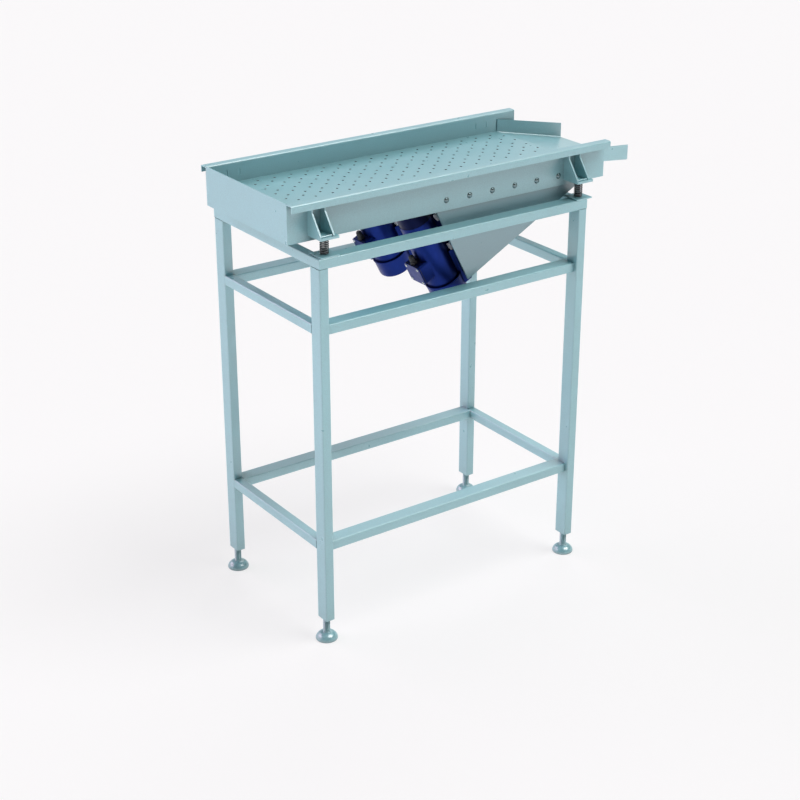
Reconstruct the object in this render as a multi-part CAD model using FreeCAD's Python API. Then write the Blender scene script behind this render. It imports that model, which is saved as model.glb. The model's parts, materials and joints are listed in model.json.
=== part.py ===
import FreeCAD, Part
import math
import os

Vec = FreeCAD.Vector

# Stand: legs, rails and a top ring of rectangular steel tube
STAND_LENGTH = 800.0
TUBE_WIDE = 40.0
TUBE_NARROW = 25.0
TUBE_WALL = 2.0
TUBE_CORNER = 3.0
LEG_BOTTOM = 60.0
LEG_LENGTH = 927.0
LOW_RAIL_HEIGHT = 190.0
MID_RAIL_HEIGHT = 760.0
LONG_RAIL_INSET = 11.0

# Levelling feet, screwed into a nut block inside each leg
PAD_DIAMETER = 56.0
PAD_RIM = 5.0
PAD_HEIGHT = 20.0
STEM_IN_LEG = 45.0
NUT_BLOCK_HEIGHT = 25.0
NUT_BLOCK_RIM = 1.5

# Coil springs between the stand and the tray
SPRING_LEFT_INSET = 31.0
SPRING_RIGHT_INSET = 9.0
SPRING_SIDE_INSET = 26.0
SPRING_HEIGHT = 40.0
SPRING_DIAMETER = 22.0
SPRING_WIRE = 3.2
SPRING_TURNS = 7.5
SPRING_END_GAP = 0.2
SPIGOT_HEIGHT = 10.0
SPIGOT_GAP = 0.8
SEAT_SIZE = 50.0
SEAT_THICKNESS = 3.0

# Tray: two folded side walls, an end plate and a perforated deck
WALL_HEIGHT = 97.0
WALL_SHEET = 3.0
WALL_BEND = 1.5
WALL_BELOW_BRACKET = 14.0
TRAY_WIDTH = 368.0
TRAY_LEFT_OVERHANG = 48.0
TRAY_RIGHT_OVERHANG = 100.0
FLANGE_WIDTH = 22.5
LIP_HEIGHT = 17.5
DECK_SHEET = 2.0
DECK_DEPTH = 50.0
DECK_END_GAP = 60.0

# Round holes of the deck, two staggered grids
HOLE_DIAMETER = 6.5
HOLE_PITCH_X = 48.0
HOLE_PITCH_Y = 47.0
HOLE_STAGGER_X = 20.0
HOLE_STAGGER_Y = 23.0
HOLE_START_X = 103.0
HOLE_START_Y = 31.0
HOLE_END_MARGIN = 10.0
HOLE_SIDE_MARGIN = 22.0

# Discharge spout: a tapering channel folded from one sheet
SPOUT_REACH = 127.0
SPOUT_SHEET = 2.0
SPOUT_FALL = 33.0
SPOUT_TIP_WIDTH = 270.0
SPOUT_BEND = 3.0
SPOUT_ROOT_SIDE = 35.0
SPOUT_TIP_SIDE = 39.0
SPOUT_SIDE_GAP = 0.5
SPOUT_LAP = 25.0
SPOUT_LAP_INSET = 12.0

# Spring brackets: a base plate and two gussets, tabbed through the wall
BRACKET_LENGTH = 50.0
BRACKET_REACH = 56.0
BRACKET_SHEET = 6.0
GUSSET_SHEET = 4.0
GUSSET_NEAR = 12.0
GUSSET_FAR = 23.0
GUSSET_TOE = 2.0
GUSSET_TOE_HEIGHT = 3.0
GUSSET_NECK_DROP = 24.0
GUSSET_LIP_GAP = 0.5
GUSSET_CORNER = 4.0
TAB_HEIGHT = 15.0
TAB_DROP = 16.0
TAB_RECESS = 1.0
TAB_GAP = 0.2

# Motor bracket: two side plates bolted inside the walls, and a tilted motor plate
SIDE_PLATE_START = 421.0
SIDE_PLATE_END_GAP = 11.0
SIDE_PLATE_STRIP = 45.0
SIDE_PLATE_DROP = 191.0
SIDE_PLATE_SHEET = 4.0
MOTOR_TILT = 27.5
MOTOR_PLATE_SHEET = 10.0
MOTOR_PLATE_INSET = 25.0
MOTOR_PLATE_RISE = 2.0
MOTOR_PLATE_TOE = 10.0

# Dome-headed bolts with nuts through the walls and the side plates
WALL_BOLT_DIAMETER = 8.0
WALL_BOLT_HEAD = 15.0
WALL_BOLT_DOME = 4.5
WALL_BOLT_START = 27.0
WALL_BOLT_PITCH = 70.0
WALL_BOLT_MARGIN = 70.0
WALL_BOLT_BELOW_DECK = 21.0
WALL_NUT_WIDTH = 13.0
WALL_NUT_HEIGHT = 6.5
BOLT_TAIL = 3.0
BOLT_GAP = 0.5

# Vibrator motors: two alike, side by side, with their shafts along the motor plate
MOTOR_SIDE_GAP = 3.0
MOTOR_DECK_GAP = 10.0
MOTOR_DROP = 74.0
HOUSING_RADIUS = 43.0
HOUSING_LOW = 130.0
HOUSING_WALL = 8.0
HOUSING_END_WALL = 16.0
BARREL_CLEARANCE = 11.0
COVER_STEP = 0.8
COVER_LENGTH = 52.0
COVER_CORNER = 5.0
COVER_SHEET = 3.0
FOOT_LENGTH = 124.0
FOOT_THICKNESS = 14.0
FOOT_CORNER = 10.0
FOOT_BOLT_SPAN_X = 92.0
FOOT_BOLT_TUCK = 1.5
FOOT_BOLT_EDGE = 17.5
FOOT_BOLT_DIAMETER = 12.0
FOOT_BOLT_HEAD_WIDTH = 18.0
FOOT_BOLT_HEAD_HEIGHT = 7.5
FOOT_NUT_HEIGHT = 10.0
PEDESTAL_GAP = 3.0

# Terminal box on top of the barrel, with its lid and cable gland
TERMINAL_LOW = 100.0
TERMINAL_LENGTH = 55.0
TERMINAL_WIDTH = 60.0
TERMINAL_SEAT = 8.0
TERMINAL_RISE = 18.0
TERMINAL_WALL = 4.0
TERMINAL_CORNER = 8.0
LID_THICKNESS = 4.0
GLAND_GAP = 0.7
GLAND_NUT_WIDTH = 17.0
GLAND_NUT_LENGTH = 7.0
GLAND_CAP_DIAMETER = 15.0
GLAND_CAP_LENGTH = 16.0
GLAND_CAP_ROUND = 4.0
GLAND_BORE = 8.0

# Inside each motor: bearings, stator, rotor and eccentric weights
SHAFT_DIAMETER = 17.0
SHAFT_END_GAP = 8.0
BEARING_DIAMETER = 32.0
BEARING_WIDTH = 12.0
CORE_LENGTH = 80.0
CORE_DIAMETER = 44.0
AIR_GAP = 0.5
WEIGHT_GAP = 5.0
WEIGHT_HUB_RADIUS = 14.0
WEIGHT_THICKNESS = 24.0
WEIGHT_STANDOFF = 8.0

# Radial clearance of a shaft or stem that turns in a bore
RUNNING_GAP = 0.05

# Places worked out from the sizes above, with the origin under the middle of the whole
WALL_LENGTH = TRAY_LEFT_OVERHANG + STAND_LENGTH + TRAY_RIGHT_OVERHANG
BACK_X = -(WALL_LENGTH + SPOUT_REACH) / 2
WALL_END_X = BACK_X + WALL_LENGTH
TIP_X = WALL_END_X + SPOUT_REACH
DECK_X = BACK_X + WALL_SHEET
DECK_END_X = WALL_END_X - DECK_END_GAP
STAND_X = BACK_X + TRAY_LEFT_OVERHANG
STAND_END_X = STAND_X + STAND_LENGTH
STAND_HALF = TRAY_WIDTH / 2 + BRACKET_REACH
STEM_RADIUS = TUBE_NARROW / 2 - TUBE_WALL - NUT_BLOCK_RIM
LEG_TOP = LEG_BOTTOM + LEG_LENGTH
RING_TOP = LEG_TOP + TUBE_NARROW
SEAT_TOP = RING_TOP + SEAT_THICKNESS
BRACKET_Z = SEAT_TOP + SPRING_HEIGHT
BRACKET_TOP = BRACKET_Z + BRACKET_SHEET
WALL_Z = BRACKET_Z - WALL_BELOW_BRACKET
WALL_TOP = WALL_Z + WALL_HEIGHT
WALL_OUT = TRAY_WIDTH / 2
WALL_IN = WALL_OUT - WALL_SHEET
DECK_TOP = WALL_TOP - DECK_DEPTH
DECK_Z = DECK_TOP - DECK_SHEET
SPRING_XS = (STAND_X + SPRING_LEFT_INSET, STAND_END_X - SPRING_RIGHT_INSET)
SPRING_Y = STAND_HALF - SPRING_SIDE_INSET
SPIGOT_RADIUS = SPRING_DIAMETER / 2 - SPRING_WIRE - SPIGOT_GAP
GUSSET_OFFSETS = (-GUSSET_FAR, GUSSET_NEAR)
TAB_TOP = WALL_TOP - WALL_SHEET - TAB_DROP
SIDE_X = BACK_X + SIDE_PLATE_START
SIDE_END_X = DECK_END_X - SIDE_PLATE_END_GAP
SIDE_Z = DECK_Z - SIDE_PLATE_STRIP
SIDE_IN = WALL_IN - SIDE_PLATE_SHEET
WALL_BOLT_Z = DECK_TOP - WALL_BOLT_BELOW_DECK
WALL_BOLT_X = SIDE_X + WALL_BOLT_START
WALL_BOLT_COUNT = int((SIDE_END_X - WALL_BOLT_MARGIN - WALL_BOLT_X) / WALL_BOLT_PITCH) + 1
WALL_BOLT_XS = [WALL_BOLT_X + WALL_BOLT_PITCH * i for i in range(WALL_BOLT_COUNT)]
MOTOR_PLATE_LENGTH = SIDE_PLATE_DROP / math.cos(math.radians(MOTOR_TILT)) - MOTOR_PLATE_TOE
FOOT_BOLT_SPAN_Y = 2 * (HOUSING_RADIUS - FOOT_BOLT_TUCK)
FOOT_WIDTH = FOOT_BOLT_SPAN_Y + 2 * FOOT_BOLT_EDGE
MOTOR_Y = SIDE_IN - MOTOR_SIDE_GAP - FOOT_WIDTH / 2
PEDESTAL_WIDTH = FOOT_BOLT_SPAN_Y - 2 * (FOOT_BOLT_HEAD_WIDTH / math.sqrt(3) + PEDESTAL_GAP)
SHAFT_HEIGHT = HOUSING_RADIUS + BARREL_CLEARANCE
COVER_RADIUS = HOUSING_RADIUS - COVER_STEP
COVER_TOP_INSET = (MOTOR_PLATE_INSET + COVER_RADIUS - SHAFT_HEIGHT) * math.sin(math.radians(MOTOR_TILT))
MOTOR_HEADROOM = (SIDE_PLATE_STRIP - MOTOR_DECK_GAP - COVER_TOP_INSET) / math.cos(math.radians(MOTOR_TILT))
HOUSING_HIGH = MOTOR_DROP + MOTOR_HEADROOM - COVER_LENGTH
WEIGHT_RADIUS = COVER_RADIUS - COVER_SHEET - WEIGHT_GAP
TERMINAL_BASE = SHAFT_HEIGHT + TERMINAL_SEAT
TERMINAL_FLOOR = SHAFT_HEIGHT + HOUSING_RADIUS
TERMINAL_TOP = TERMINAL_FLOOR + TERMINAL_RISE
GLAND_HEIGHT = TERMINAL_FLOOR + GLAND_GAP + GLAND_NUT_WIDTH / math.sqrt(3)
BORE_RADIUS = HOUSING_RADIUS - HOUSING_WALL
CORE_X = (HOUSING_HIGH - HOUSING_LOW) / 2

SIDES = {"front": -1, "back": 1}
ENDS = {"left": 0, "right": 1}


def box(x0, x1, y0, y1, z0, z1):
    """Block between two corners, given in any order along each axis."""
    low = Vec(min(x0, x1), min(y0, y1), min(z0, z1))
    return Part.makeBox(abs(x1 - x0), abs(y1 - y0), abs(z1 - z0), low)


def prism(points, direction):
    """Straight solid on a closed outline of corner points."""
    return Part.Face(Part.makePolygon(list(points) + [points[0]])).extrude(direction)


def rod(radius, start, end):
    """Round bar from one point to another."""
    axis = end - start
    return Part.makeCylinder(radius, axis.Length, start, axis)


def hexagon(width, height, start, axis):
    """Hexagonal prism, width across its flats, standing on start."""
    radius = width / math.sqrt(3)
    turns = [math.pi * k / 3 for k in range(6)]
    corners = [Vec(radius * math.cos(turn), radius * math.sin(turn), 0) for turn in turns]
    shape = prism(corners, Vec(0, 0, height))
    shape.Placement = FreeCAD.Placement(start, FreeCAD.Rotation(Vec(0, 0, 1), axis))
    return shape


def turned(edges, origin, axis):
    """Solid of revolution of an outline drawn with X as radius and Z along the axis."""
    shape = Part.Face(Part.Wire(edges)).revolve(Vec(0, 0, 0), Vec(0, 0, 1), 360)
    shape.Placement = FreeCAD.Placement(origin, FreeCAD.Rotation(Vec(0, 0, 1), axis))
    return shape


def line(start, end):
    return Part.LineSegment(start, end).toShape()


def arc(start, middle, end):
    return Part.Arc(start, middle, end).toShape()


def joined(shapes):
    """One solid from pieces that were welded, cast or turned together."""
    return shapes[0].fuse(shapes[1:]).removeSplitter()


def rounded(shape, radius, along):
    """Shape with its straight edges along one direction rounded."""
    run = along.normalize()
    edges = [edge for edge in shape.Edges if abs(edge.tangentAt(edge.FirstParameter).dot(run)) > 0.99]
    return shape.makeFillet(radius, edges)


def square_tube(outer, along):
    """Rectangular tube, open at both ends, from the box of its outside and its run direction."""
    size = outer.BoundBox
    walls = [0.0 if axis == along else TUBE_WALL for axis in "XYZ"]
    inner = box(
        size.XMin + walls[0], size.XMax - walls[0],
        size.YMin + walls[1], size.YMax - walls[1],
        size.ZMin + walls[2], size.ZMax - walls[2],
    )
    run = Vec(*[float(axis == along) for axis in "XYZ"])
    return rounded(outer, TUBE_CORNER, run).cut(rounded(inner, TUBE_CORNER - TUBE_WALL, run))


def leg_box(side, end):
    """Outside of one leg."""
    x = (STAND_X, STAND_END_X - TUBE_NARROW)[end]
    y = side * STAND_HALF
    return box(x, x + TUBE_NARROW, y, y - side * TUBE_WIDE, LEG_BOTTOM, LEG_TOP)


def ring_rail(corners):
    """Tube of the top ring with mitred ends: outer corners first, then the inner ones."""
    across = (corners[3] - corners[0]) * 0.5 + (corners[2] - corners[1]) * 0.5
    share = TUBE_WALL / across.Length

    def inset(outer, inner, part):
        return outer + (inner - outer) * part

    hollow = [
        inset(corners[0], corners[3], share), inset(corners[1], corners[2], share),
        inset(corners[1], corners[2], 1 - share), inset(corners[0], corners[3], 1 - share),
    ]
    lifted = [point + Vec(0, 0, TUBE_WALL) for point in hollow]
    outside = prism(corners, Vec(0, 0, TUBE_NARROW))
    inside = prism(lifted, Vec(0, 0, TUBE_NARROW - 2 * TUBE_WALL))
    run = corners[1] - corners[0]
    return rounded(outside, TUBE_CORNER, run).cut(rounded(inside, TUBE_CORNER - TUBE_WALL, run))


def make_stand(nodes):
    """Legs, three levels of rails, nut blocks, spring seats and their spigots."""
    for side_name, side in SIDES.items():
        for end_name, end in ENDS.items():
            nodes["leg_%s_%s" % (side_name, end_name)] = square_tube(leg_box(side, end), "Z")

    inner_x = (STAND_X + TUBE_NARROW, STAND_END_X - TUBE_NARROW)
    inner_y = STAND_HALF - TUBE_WIDE
    for level, height in (("low", LOW_RAIL_HEIGHT), ("mid", MID_RAIL_HEIGHT)):
        z = LEG_BOTTOM + height
        for side_name, side in SIDES.items():
            y = side * (STAND_HALF - LONG_RAIL_INSET)
            outside = box(inner_x[0], inner_x[1], y, y - side * TUBE_WIDE, z, z + TUBE_NARROW)
            nodes["%s_rail_%s" % (level, side_name)] = square_tube(outside, "X")
        for end_name, end in ENDS.items():
            x = (STAND_X, inner_x[1])[end]
            outside = box(x, x + TUBE_NARROW, -inner_y, inner_y, z, z + TUBE_NARROW)
            nodes["%s_rail_%s" % (level, end_name)] = square_tube(outside, "Y")

    for side_name, side in SIDES.items():
        nodes["ring_%s" % side_name] = ring_rail([
            Vec(STAND_X, side * STAND_HALF, LEG_TOP), Vec(STAND_END_X, side * STAND_HALF, LEG_TOP),
            Vec(inner_x[1], side * inner_y, LEG_TOP), Vec(inner_x[0], side * inner_y, LEG_TOP),
        ])
    for end_name, end in ENDS.items():
        x = (STAND_X, STAND_END_X)[end]
        nodes["ring_%s" % end_name] = ring_rail([
            Vec(x, -STAND_HALF, LEG_TOP), Vec(x, STAND_HALF, LEG_TOP),
            Vec(inner_x[end], inner_y, LEG_TOP), Vec(inner_x[end], -inner_y, LEG_TOP),
        ])

    half = SEAT_SIZE / 2
    seats = []
    spigots = []
    for x in SPRING_XS:
        for y in (-SPRING_Y, SPRING_Y):
            seats.append(box(x - half, x + half, y - half, y + half, RING_TOP, SEAT_TOP))
            spigots.append(rod(SPIGOT_RADIUS, Vec(x, y, SEAT_TOP), Vec(x, y, SEAT_TOP + SPIGOT_HEIGHT)))
    nodes["spring_seats"] = Part.makeCompound(seats)
    nodes["seat_spigots"] = Part.makeCompound(spigots)


def make_feet(nodes):
    """Domed pads on threaded stems, and the nut blocks that they screw into."""
    pad = PAD_DIAMETER / 2
    stem = STEM_RADIUS
    rise = PAD_HEIGHT - PAD_RIM
    shoulder = Vec(stem + (pad - stem) * math.sqrt(0.5), 0, PAD_RIM + rise * math.sqrt(0.5))
    stem_top = LEG_BOTTOM + STEM_IN_LEG
    outline = [
        line(Vec(0, 0, 0), Vec(pad, 0, 0)),
        line(Vec(pad, 0, 0), Vec(pad, 0, PAD_RIM)),
        arc(Vec(pad, 0, PAD_RIM), shoulder, Vec(stem, 0, PAD_HEIGHT)),
        line(Vec(stem, 0, PAD_HEIGHT), Vec(stem, 0, stem_top)),
        line(Vec(stem, 0, stem_top), Vec(0, 0, stem_top)),
        line(Vec(0, 0, stem_top), Vec(0, 0, 0)),
    ]
    blocks = []
    for side_name, side in SIDES.items():
        for end_name, end in ENDS.items():
            leg = leg_box(side, end).BoundBox
            centre = Vec(leg.Center.x, leg.Center.y, 0)
            nodes["foot_%s_%s" % (side_name, end_name)] = turned(outline, centre, Vec(0, 0, 1))
            block = box(
                leg.XMin + TUBE_WALL, leg.XMax - TUBE_WALL, leg.YMin + TUBE_WALL, leg.YMax - TUBE_WALL,
                LEG_BOTTOM, LEG_BOTTOM + NUT_BLOCK_HEIGHT,
            )
            block = rounded(block, TUBE_CORNER - TUBE_WALL, Vec(0, 0, 1))
            bottom = centre + Vec(0, 0, LEG_BOTTOM)
            blocks.append(block.cut(rod(stem + RUNNING_GAP, bottom, centre + Vec(0, 0, stem_top))))
    nodes["leg_nut_blocks"] = Part.makeCompound(blocks)


def make_springs(nodes):
    """Round-wire helices standing between the seats and the brackets."""
    radius = (SPRING_DIAMETER - SPRING_WIRE) / 2
    rise = SPRING_HEIGHT - SPRING_WIRE - 2 * SPRING_END_GAP
    start_z = SEAT_TOP + SPRING_END_GAP + SPRING_WIRE / 2
    for side_name, side in SIDES.items():
        for end_name, end in ENDS.items():
            path = Part.makeHelix(rise / SPRING_TURNS, rise, radius)
            section = Part.Wire(Part.makeCircle(SPRING_WIRE / 2, Vec(radius, 0, 0), Vec(0, 1, 0)))
            coil = Part.Wire(path).makePipeShell([section], True, True)
            coil.translate(Vec(SPRING_XS[end], side * SPRING_Y, start_z))
            nodes["spring_%s_%s" % (side_name, end_name)] = coil


def folded_wall(side):
    """Side wall with an outward flange and a lip turned down, folded from one sheet."""
    sheet = WALL_SHEET
    inner = WALL_BEND
    outer = WALL_BEND + sheet
    edge = WALL_OUT + FLANGE_WIDTH
    lip_z = WALL_TOP - LIP_HEIGHT
    diagonal = math.sqrt(0.5)

    def at(y, z):
        return Vec(BACK_X, side * y, z)

    def corner(y, z, radius, out, up):
        """Middle of a quarter bend about a centre, out and up telling its quarter."""
        return at(y + out * radius * diagonal, z + up * radius * diagonal)

    top_in = (WALL_IN + outer, WALL_TOP - outer)
    top_out = (edge - outer, WALL_TOP - outer)
    outline = [
        line(at(WALL_OUT, WALL_Z), at(WALL_IN, WALL_Z)),
        line(at(WALL_IN, WALL_Z), at(WALL_IN, top_in[1])),
        arc(at(WALL_IN, top_in[1]), corner(*top_in, outer, -1, 1), at(top_in[0], WALL_TOP)),
        line(at(top_in[0], WALL_TOP), at(top_out[0], WALL_TOP)),
        arc(at(top_out[0], WALL_TOP), corner(*top_out, outer, 1, 1), at(edge, top_out[1])),
        line(at(edge, top_out[1]), at(edge, lip_z)),
        line(at(edge, lip_z), at(edge - sheet, lip_z)),
        line(at(edge - sheet, lip_z), at(edge - sheet, top_out[1])),
        arc(at(edge - sheet, top_out[1]), corner(*top_out, inner, 1, 1), at(top_out[0], WALL_TOP - sheet)),
        line(at(top_out[0], WALL_TOP - sheet), at(top_in[0], WALL_TOP - sheet)),
        arc(at(top_in[0], WALL_TOP - sheet), corner(*top_in, inner, -1, 1), at(WALL_OUT, top_in[1])),
        line(at(WALL_OUT, top_in[1]), at(WALL_OUT, WALL_Z)),
    ]
    wall = Part.Face(Part.Wire(outline)).extrude(Vec(WALL_LENGTH, 0, 0))

    cuts = []
    for x in SPRING_XS:
        for offset in GUSSET_OFFSETS:
            half = GUSSET_SHEET / 2 + TAB_GAP
            cuts.append(box(
                x + offset - half, x + offset + half, side * WALL_IN, side * WALL_OUT,
                TAB_TOP - TAB_HEIGHT - TAB_GAP, TAB_TOP + TAB_GAP,
            ))
    return wall.cut(cuts + wall_bolt_holes(side))


def wall_bolt_holes(side):
    """Cutters for the bolts through one wall and its side plate."""
    radius = WALL_BOLT_DIAMETER / 2 + BOLT_GAP
    return [
        rod(radius, Vec(x, side * WALL_OUT, WALL_BOLT_Z), Vec(x, side * SIDE_IN, WALL_BOLT_Z))
        for x in WALL_BOLT_XS
    ]


def perforated_deck():
    """Flat deck with two staggered grids of round holes."""
    end_x = DECK_END_X - HOLE_END_MARGIN
    end_y = WALL_IN - HOLE_SIDE_MARGIN
    corners = [Vec(DECK_X, -WALL_IN, DECK_Z), Vec(DECK_END_X, -WALL_IN, DECK_Z),
               Vec(DECK_END_X, WALL_IN, DECK_Z), Vec(DECK_X, WALL_IN, DECK_Z)]
    wires = [Part.makePolygon(corners + corners[:1])]
    for grid in (0, 1):
        start_x = DECK_X + HOLE_START_X + grid * HOLE_STAGGER_X
        start_y = -WALL_IN + HOLE_START_Y + grid * HOLE_STAGGER_Y
        columns = int((end_x - start_x) / HOLE_PITCH_X) + 1
        rows = int((end_y - start_y) / HOLE_PITCH_Y) + 1
        for column in range(columns):
            for row in range(rows):
                centre = Vec(start_x + column * HOLE_PITCH_X, start_y + row * HOLE_PITCH_Y, DECK_Z)
                wires.append(Part.Wire(Part.makeCircle(HOLE_DIAMETER / 2, centre)))
    return Part.makeFace(wires, "Part::FaceMakerBullseye").extrude(Vec(0, 0, DECK_SHEET))


def spout_section(x, half_width, floor_z, side_height):
    """Closed outline of the channel at one place: floor, rounded bends and upright sides."""
    inner = SPOUT_BEND
    outer = SPOUT_BEND + SPOUT_SHEET
    top = floor_z + side_height
    flat = half_width - outer
    bend_z = floor_z + inner
    diagonal = math.sqrt(0.5)

    def at(y, z):
        return Vec(x, y, z)

    def bend(side, radius):
        return at(side * (flat + radius * diagonal), bend_z - radius * diagonal)

    low = bend_z - outer
    wide = half_width
    narrow = half_width - SPOUT_SHEET
    return Part.Wire([
        line(at(-wide, top), at(-wide, bend_z)),
        arc(at(-wide, bend_z), bend(-1, outer), at(-flat, low)),
        line(at(-flat, low), at(flat, low)),
        arc(at(flat, low), bend(1, outer), at(wide, bend_z)),
        line(at(wide, bend_z), at(wide, top)),
        line(at(wide, top), at(narrow, top)),
        line(at(narrow, top), at(narrow, bend_z)),
        arc(at(narrow, bend_z), bend(1, inner), at(flat, floor_z)),
        line(at(flat, floor_z), at(-flat, floor_z)),
        arc(at(-flat, floor_z), bend(-1, inner), at(-narrow, bend_z)),
        line(at(-narrow, bend_z), at(-narrow, top)),
        line(at(-narrow, top), at(-wide, top)),
    ])


def tapered_spout():
    """Falling, narrowing channel with a lap that lies under the end of the deck."""
    root = spout_section(DECK_END_X, WALL_IN - SPOUT_SIDE_GAP, DECK_Z, SPOUT_ROOT_SIDE)
    tip = spout_section(TIP_X, SPOUT_TIP_WIDTH / 2, DECK_Z - SPOUT_FALL, SPOUT_TIP_SIDE)
    channel = Part.makeLoft([root, tip], True, True)
    half = SIDE_IN - SPOUT_LAP_INSET - SPOUT_BEND
    lap = box(DECK_END_X - SPOUT_LAP, DECK_END_X, -half, half, DECK_Z - SPOUT_SHEET, DECK_Z)
    return joined([channel, lap])


def gusset(x, side):
    """Upright web of a bracket, with a tab that sits in a slot of the wall."""
    foot_y = WALL_OUT + BRACKET_REACH - GUSSET_TOE
    neck_y = WALL_OUT + FLANGE_WIDTH - WALL_SHEET - GUSSET_LIP_GAP
    top = WALL_TOP - WALL_SHEET
    outline = [
        (WALL_OUT, BRACKET_TOP), (foot_y, BRACKET_TOP), (foot_y, BRACKET_TOP + GUSSET_TOE_HEIGHT),
        (neck_y, top - GUSSET_NECK_DROP), (neck_y, top - GUSSET_CORNER), (neck_y - GUSSET_CORNER, top),
        (WALL_OUT + GUSSET_CORNER, top), (WALL_OUT, top - GUSSET_CORNER),
    ]
    start = x - GUSSET_SHEET / 2
    web = prism([Vec(start, side * y, z) for y, z in outline], Vec(GUSSET_SHEET, 0, 0))
    tab = box(
        start, start + GUSSET_SHEET, side * WALL_OUT, side * (WALL_IN + TAB_RECESS),
        TAB_TOP - TAB_HEIGHT, TAB_TOP,
    )
    return joined([web, tab])


def make_tray(nodes):
    """Walls, end plate, deck, spout and the brackets that stand on the springs."""
    for side_name, side in SIDES.items():
        nodes["%s_wall" % side_name] = folded_wall(side)
    nodes["end_plate"] = box(BACK_X, DECK_X, -WALL_IN, WALL_IN, WALL_Z, WALL_TOP)
    nodes["screen_deck"] = perforated_deck()
    nodes["discharge_spout"] = tapered_spout()

    half = BRACKET_LENGTH / 2
    plates = []
    gussets = []
    spigots = []
    for x in SPRING_XS:
        for side in SIDES.values():
            reach = side * (WALL_OUT + BRACKET_REACH)
            y = side * SPRING_Y
            plates.append(box(x - half, x + half, side * WALL_OUT, reach, BRACKET_Z, BRACKET_TOP))
            gussets += [gusset(x + offset, side) for offset in GUSSET_OFFSETS]
            spigots.append(rod(SPIGOT_RADIUS, Vec(x, y, BRACKET_Z - SPIGOT_HEIGHT), Vec(x, y, BRACKET_Z)))
    nodes["bracket_plates"] = Part.makeCompound(plates)
    nodes["bracket_gussets"] = Part.makeCompound(gussets)
    nodes["bracket_spigots"] = Part.makeCompound(spigots)


def motor_placement(side):
    """Frame of one motor: X up along the plate, Z outward from its face, origin between its feet."""
    tilt = math.radians(MOTOR_TILT)
    up = Vec(-math.sin(tilt), 0, math.cos(tilt))
    out = Vec(-math.cos(tilt), 0, -math.sin(tilt))
    origin = Vec(SIDE_X, side * MOTOR_Y, SIDE_Z) - up * MOTOR_DROP - out * MOTOR_PLATE_INSET
    matrix = FreeCAD.Matrix(
        up.x, 0, out.x, origin.x,
        0, 1, 0, origin.y,
        up.z, 0, out.z, origin.z,
        0, 0, 0, 1,
    )
    return FreeCAD.Placement(matrix)


def in_place(shape, placement):
    """Copy of a shape moved from a motor's frame to the whole's."""
    moved = shape.copy()
    moved.Placement = placement.multiply(moved.Placement)
    return moved


def foot_bolt_places():
    """Bolt centres of one motor's feet, in the motor's frame."""
    return [
        Vec(sx * FOOT_BOLT_SPAN_X / 2, sy * FOOT_BOLT_SPAN_Y / 2, 0)
        for sx in (-1, 1) for sy in (-1, 1)
    ]


def foot_bolt_holes(low, high):
    """Cutters for the bolts of one motor between two heights."""
    radius = FOOT_BOLT_DIAMETER / 2 + BOLT_GAP
    return [rod(radius, p + Vec(0, 0, low), p + Vec(0, 0, high)) for p in foot_bolt_places()]


def make_motor_bracket(nodes):
    """Side plates, the tilted motor plate and the bolts that hold the side plates to the walls."""
    slope = math.tan(math.radians(MOTOR_TILT))
    outline = [
        (SIDE_X, DECK_Z), (SIDE_X, SIDE_Z), (SIDE_X + SIDE_PLATE_DROP * slope, SIDE_Z - SIDE_PLATE_DROP),
        (SIDE_END_X, SIDE_Z), (SIDE_END_X, DECK_Z),
    ]
    bolts = []
    nuts = []
    for side_name, side in SIDES.items():
        corners = [Vec(x, side * WALL_IN, z) for x, z in outline]
        plate = prism(corners, Vec(0, -side * SIDE_PLATE_SHEET, 0))
        nodes["side_plate_%s" % side_name] = plate.cut(wall_bolt_holes(side))
        for x in WALL_BOLT_XS:
            bolts.append(dome_bolt(Vec(x, side * WALL_OUT, WALL_BOLT_Z), Vec(0, side, 0)))
            nuts.append(wall_nut(Vec(x, side * SIDE_IN, WALL_BOLT_Z), Vec(0, -side, 0)))
    nodes["wall_bolts"] = Part.makeCompound(bolts)
    nodes["wall_nuts"] = Part.makeCompound(nuts)

    top = MOTOR_DROP + MOTOR_PLATE_RISE
    flat = box(MOTOR_DROP - MOTOR_PLATE_LENGTH, top, -SIDE_IN, SIDE_IN, -MOTOR_PLATE_SHEET, 0)
    middle = motor_placement(0)
    plate = in_place(flat, middle)
    for side in SIDES.values():
        holes = [in_place(hole, motor_placement(side)) for hole in foot_bolt_holes(-MOTOR_PLATE_SHEET, 0)]
        plate = plate.cut(holes)
    nodes["motor_plate"] = plate


def dome_bolt(seat, out):
    """Bolt with a low domed head, standing on seat with its head outward."""
    head = WALL_BOLT_HEAD / 2
    shank = WALL_BOLT_DIAMETER / 2
    length = WALL_SHEET + SIDE_PLATE_SHEET + WALL_NUT_HEIGHT + BOLT_TAIL
    radius = (head * head + WALL_BOLT_DOME * WALL_BOLT_DOME) / (2 * WALL_BOLT_DOME)
    half_angle = math.asin(head / radius) / 2
    crown = Vec(radius * math.sin(half_angle), 0, WALL_BOLT_DOME - radius * (1 - math.cos(half_angle)))
    return turned([
        line(Vec(0, 0, -length), Vec(shank, 0, -length)),
        line(Vec(shank, 0, -length), Vec(shank, 0, 0)),
        line(Vec(shank, 0, 0), Vec(head, 0, 0)),
        arc(Vec(head, 0, 0), crown, Vec(0, 0, WALL_BOLT_DOME)),
        line(Vec(0, 0, WALL_BOLT_DOME), Vec(0, 0, -length)),
    ], seat, out)


def wall_nut(seat, axis):
    """Hexagonal nut on a wall bolt."""
    nut = hexagon(WALL_NUT_WIDTH, WALL_NUT_HEIGHT, seat, axis)
    return nut.cut(rod(WALL_BOLT_DIAMETER / 2, seat, seat + axis * WALL_NUT_HEIGHT))


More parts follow.
